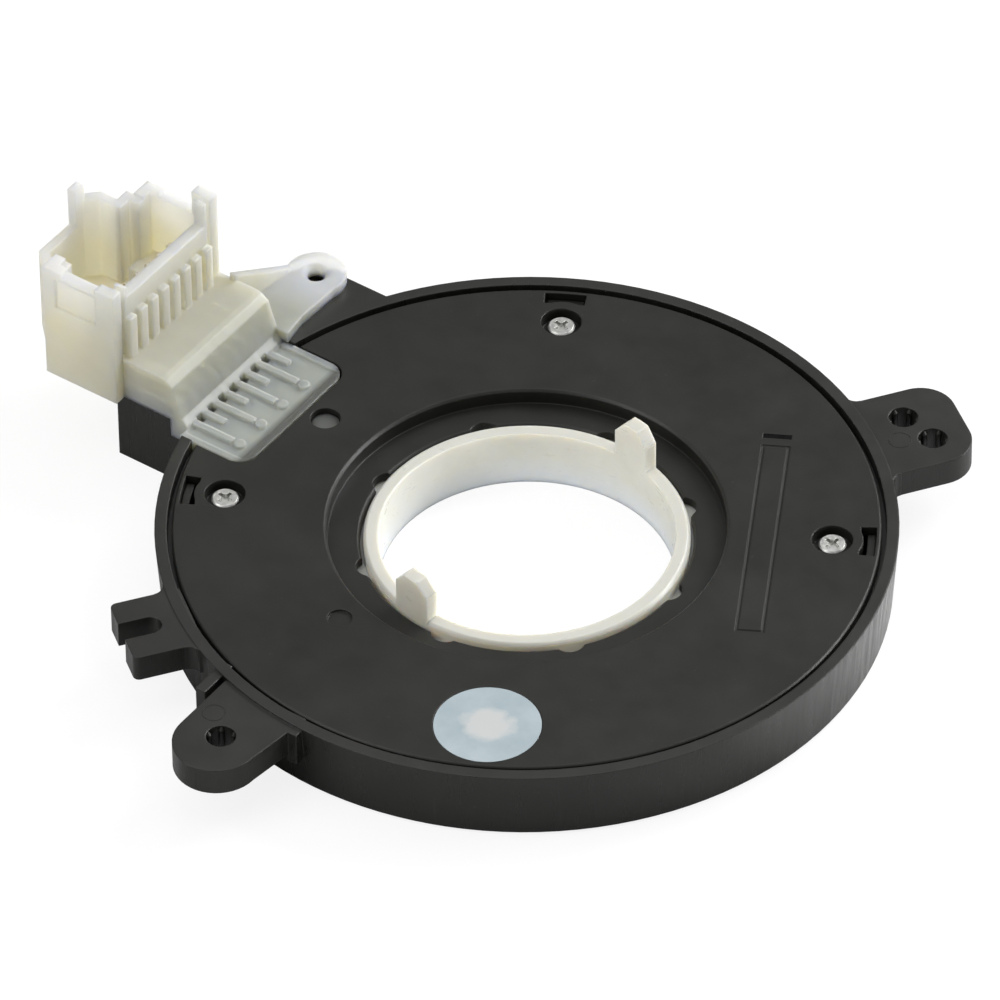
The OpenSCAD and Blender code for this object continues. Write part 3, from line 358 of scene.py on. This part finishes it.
def natural_nylon():
    """Translucent natural nylon: warm in the shroud, greyer in the tongue over the black cover."""
    s = Shader("natural_nylon")
    cloud = s.noise(120, detail=5, rough=0.55)
    fine = s.noise(900, detail=3, rough=0.6)
    warm, grey, pale = (s.ramp(cloud, *pair) for pair in (NYLON_WARM, NYLON_GREY, NYLON_PALE))
    body = s.mix(s.axis("Z", *NYLON_TOP), warm, NYLON_TOP_COLOUR)
    body = s.mix(s.axis("X", *NYLON_TONGUE), body, grey)
    body = s.mix(s.axis("Y", *NYLON_FLANGE), body, pale)
    # Painted shade: the tongue's tip in the cover's hole is painted dark
    body = s.mix(s.axis("X", *NYLON_TIP), body, NYLON_TIP_SHADE)
    normal = s.bump(fine, 0.12, 0.00004, s.rounded(NYLON_ROUND))
    s.set(Base_Color=body,
          Roughness=s.ramp(fine, 0.30, 0.44),
          Normal=s.bump(cloud, 0.2, 0.00015, normal),
          Subsurface_Weight=1.0, Subsurface_Radius=(1.0, 0.9, 0.62), Subsurface_Scale=0.005,
          Transmission_Weight=0.49, IOR=1.45)
    return s.material


def plain_plastic(name, low, high, rough=(0.4, 0.6), scale=300):
    """Moulded plastic or ceramic with a slight mottle."""
    s = Shader(name)
    mottle = s.noise(scale, detail=5)
    s.set(Base_Color=s.ramp(mottle, low, high),
          Roughness=s.ramp(s.noise(scale * 3), *rough),
          Normal=s.bump(mottle, 0.1, 0.00003, s.rounded(PLASTIC_ROUND)))
    return s.material


def metal(name, low, high, rough=(0.22, 0.45)):
    """Plated metal with fine marks."""
    s = Shader(name)
    marks = s.noise(900, detail=6, rough=0.7)
    s.set(Base_Color=s.ramp(marks, low, high),
          Roughness=s.ramp(s.noise(1800), *rough),
          Normal=s.bump(marks, 0.2, 0.00002, s.rounded(METAL_ROUND)),
          Metallic=1.0)
    return s.material


def film():
    """Pale film with a painted highlight: a small whiter patch of ragged outline at its middle."""
    s = Shader("film")
    low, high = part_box("vent_film")
    away = s.vector("DISTANCE", s.place, (low + high) / 2)
    ragged = s.calc("MULTIPLY_ADD", s.noise(330, detail=3), FILM_RAGGED, away)
    highlight = s.ramp(s.calc("MULTIPLY", ragged, CM_PER_M), 1.0, 0.0, *FILM_HIGHLIGHT_FADE)
    sheet = s.ramp(s.noise(200), *FILM_SHEET)
    # Painted highlight: whiter patch at the middle of the film
    s.set(Base_Color=s.mix(highlight, sheet, FILM_PAINTED_HIGHLIGHT),
          Roughness=s.ramp(s.noise(700), 0.28, 0.42),
          Normal=s.bump(s.noise(260, detail=3), 0.2, 0.0001, s.rounded(FILM_ROUND)))
    return s.material


MATERIALS = {
    "black_nylon": black_nylon("black_nylon", HOUSING_SHINE),
    "white_acetal": white_acetal(),
    "natural_acetal": plain_plastic("natural_acetal", (0.80, 0.78, 0.69), (0.86, 0.84, 0.76)),
    "natural_nylon": natural_nylon(),
    "board": plain_plastic("board", (0.012, 0.085, 0.035), (0.02, 0.11, 0.05), (0.25, 0.35)),
    "package": plain_plastic("package", (0.012, 0.012, 0.013), (0.02, 0.02, 0.02), (0.5, 0.7), 900),
    "capacitor": plain_plastic("capacitor", (0.25, 0.16, 0.09), (0.32, 0.21, 0.13), scale=1200),
    "magnet": metal("magnet", (0.06, 0.06, 0.065), (0.10, 0.10, 0.11)),
    "can": metal("can", (0.55, 0.55, 0.54), (0.66, 0.66, 0.65)),
    "terminal": metal("terminal", (0.66, 0.62, 0.52), (0.76, 0.72, 0.62)),
    "zinc_screw": metal("zinc_screw", (0.46, 0.46, 0.445), (0.62, 0.62, 0.60), (0.32, 0.52)),
    "film": film(),
}


def dress_nodes():
    """Give every CAD node the material of its slot in the record, and the cover a duller black."""
    slots = {p["node"]: p["material_slot"] for p in frame["record"]["subparts"]}
    for name, obj in nodes.items():
        obj.data.materials.clear()
        obj.data.materials.append(MATERIALS[slots[name]])
    nodes["cover"].data.materials[0] = black_nylon("cover_nylon", COVER_SHINE)


def new_piece(name, bm, slot, body="base"):
    """Turn a bmesh into a piece that rides a body and carries a material slot."""
    mesh = bpy.data.meshes.new(name)
    bmesh.ops.recalc_face_normals(bm, faces=bm.faces)
    bm.to_mesh(mesh)
    bm.free()
    mesh.materials.append(MATERIALS[slot])
    obj = bpy.data.objects.new(name, mesh)
    scene.collection.objects.link(obj)
    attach(obj, body)
    return obj


def ring(bm, x, y, z, radius, sides):
    """Level ring of vertices, in mm."""
    turns = (math.tau * k / sides for k in range(sides))
    return [bm.verts.new(mm(x + math.cos(t) * radius, y + math.sin(t) * radius, z)) for t in turns]


def band(bm, a, b):
    """Faces between two closed loops of vertices."""
    for k in range(len(a)):
        after = (k + 1) % len(a)
        bm.faces.new((a[k], a[after], b[after], b[k]))


def crush_ribs():
    """Round upright ribs on the walls of the ears' holes, with sloped tops."""
    bm = bmesh.new()
    for (x, y), turn in EAR_HOLES:
        for i in range(RIBS):
            a = math.radians(turn + 360 / RIBS * i)
            rib_x, rib_y = x + math.cos(a) * EAR_HOLE_R, y + math.sin(a) * EAR_HOLE_R
            rings = [ring(bm, rib_x, rib_y, z, radius, RIB_SIDES) for z, radius in RIB_PROFILE]
            for lower, upper in zip(rings, rings[1:]):
                band(bm, lower, upper)
            bm.faces.new(rings[0][::-1])
            bm.faces.new(rings[-1])
    new_piece("crush_ribs", bm, "black_nylon")


def ejector_marks():
    """Shallow raised rims that the ejector pins left on the tops of the ears."""
    bm = bmesh.new()
    for x, y in EJECTOR_MARKS:
        loops = [ring(bm, x, y, EAR_TOP + z, radius, EJECTOR_SIDES)
                 for radius, z in EJECTOR_PROFILE]
        for a, b in zip(loops, loops[1:] + loops[:1]):
            band(bm, a, b)
    new_piece("ejector_marks", bm, "black_nylon")


def groove_shade_sheet():
    """Dark sheet of painted shade in the bar groove at the head of the marking field, which itself
    stays bare.
    """
    along = Vector((math.cos(FIELD_TURN), math.sin(FIELD_TURN)))
    across = Vector((-along.y, along.x))
    ends = ((BAR_FROM, 0), (BAR_TO, 0), (BAR_TO, BAR_LENGTH), (BAR_FROM, BAR_LENGTH))
    plan = [Vector(FIELD_CORNER) + along * a + across * b for a, b in ends]
    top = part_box("cover")[1].z / MM
    bm = bmesh.new()
    low, high = [[bm.verts.new(mm(p.x, p.y, top - depth)) for p in plan] for depth in BAR_DEPTHS]
    bm.faces.new(low[::-1])
    bm.faces.new(high)
    band(bm, low, high)
    # Painted shade: a near-black sheet where the groove lies in shade
    bar = new_piece("groove_shade_sheet", bm, "black_nylon")
    bar.data.materials[0] = groove_shade_black()


def floor():
    """Plain pale floor that takes the object's soft shadow; in reflections it shows a painted
    reflection, dark in front, bright to the right and grey far back.
    """
    mesh = bpy.data.meshes.new("floor")
    bm = bmesh.new()
    bmesh.ops.create_grid(bm, x_segments=1, y_segments=1, size=FLOOR_HALF)
    bm.to_mesh(mesh)
    bm.free()
    obj = bpy.data.objects.new("floor", mesh)
    obj.location = (0, 0, -FLOOR_GAP)
    scene.collection.objects.link(obj)
    s = Shader("floor")
    # Painted reflection: glossy rays see the floor painted darker in front and far back, brighter
    # to the right
    right = s.vector("DOT_PRODUCT", s.place, (math.cos(MIRROR_TURN), math.sin(MIRROR_TURN), 0))
    painted_reflection = s.ramp(s.rise(right, *MIRROR_RIGHT), MIRROR_PAINTED_SHADE, MIRROR_PAINTED_LIGHT, 0.0, 1.0)
    painted_reflection = s.mix(s.axis("Y", *MIRROR_BACK), painted_reflection, MIRROR_BACK_SHADE)
    rays = s.node("ShaderNodeLightPath").outputs
    s.set(Base_Color=s.mix(rays["Is Glossy Ray"], FLOOR_COLOUR, painted_reflection),
          Roughness=0.9, Specular_IOR_Level=0.1)
    seen = s.calc("MAXIMUM", rays["Is Camera Ray"], rays["Is Transmission Ray"])
    glow = s.node("ShaderNodeEmission", Strength=1.0, Color=WHITE)
    blend = s.node("ShaderNodeMixShader")
    surfaces = (s.calc("MULTIPLY", seen, FLOOR_GLOW), s.bsdf.outputs[0], glow.outputs[0])
    for socket, source in zip(blend.inputs, surfaces):
        s.feed(socket, source)
    s.feed(s.tree.nodes["Material Output"].inputs["Surface"], blend.outputs[0])
    mesh.materials.append(s.material)


def light():
    """Soft studio light: a pale world and four large lamps."""
    world = bpy.data.worlds.new("world")
    world.use_nodes = True
    scene.world = world
    back = world.node_tree.nodes["Background"]
    back.inputs["Color"].default_value = (*WHITE, 1)
    back.inputs["Strength"].default_value = WORLD_STRENGTH
    for name, place, aim, side, power in LAMPS:
        data = bpy.data.lights.new(name, "AREA")
        data.shape = "SQUARE"
        data.size = side
        data.energy = power
        obj = bpy.data.objects.new(name, data)
        obj.location = place
        obj.rotation_euler = (Vector(aim) - Vector(place)).to_track_quat("-Z", "Y").to_euler()
        scene.collection.objects.link(obj)


def camera():
    """Camera at the photograph's place and angle."""
    data = bpy.data.cameras.new("camera")
    data.lens = CAMERA_LENS
    data.sensor_width = CAMERA_SENSOR
    data.clip_end = CAMERA_REACH
    obj = bpy.data.objects.new("camera", data)
    place = mm(*CAMERA_AT)
    aim = (mm(*CAMERA_AIM) - place).to_track_quat("-Z", "Y").to_matrix().to_4x4()
    roll = Matrix.Rotation(math.radians(CAMERA_ROLL), 4, "Z")
    obj.matrix_world = Matrix.Translation(place) @ aim @ roll
    scene.collection.objects.link(obj)
    scene.camera = obj


dress_nodes()
crush_ribs()
ejector_marks()
groove_shade_sheet()
floor()
light()
camera()
scene.view_settings.view_transform = "Standard"
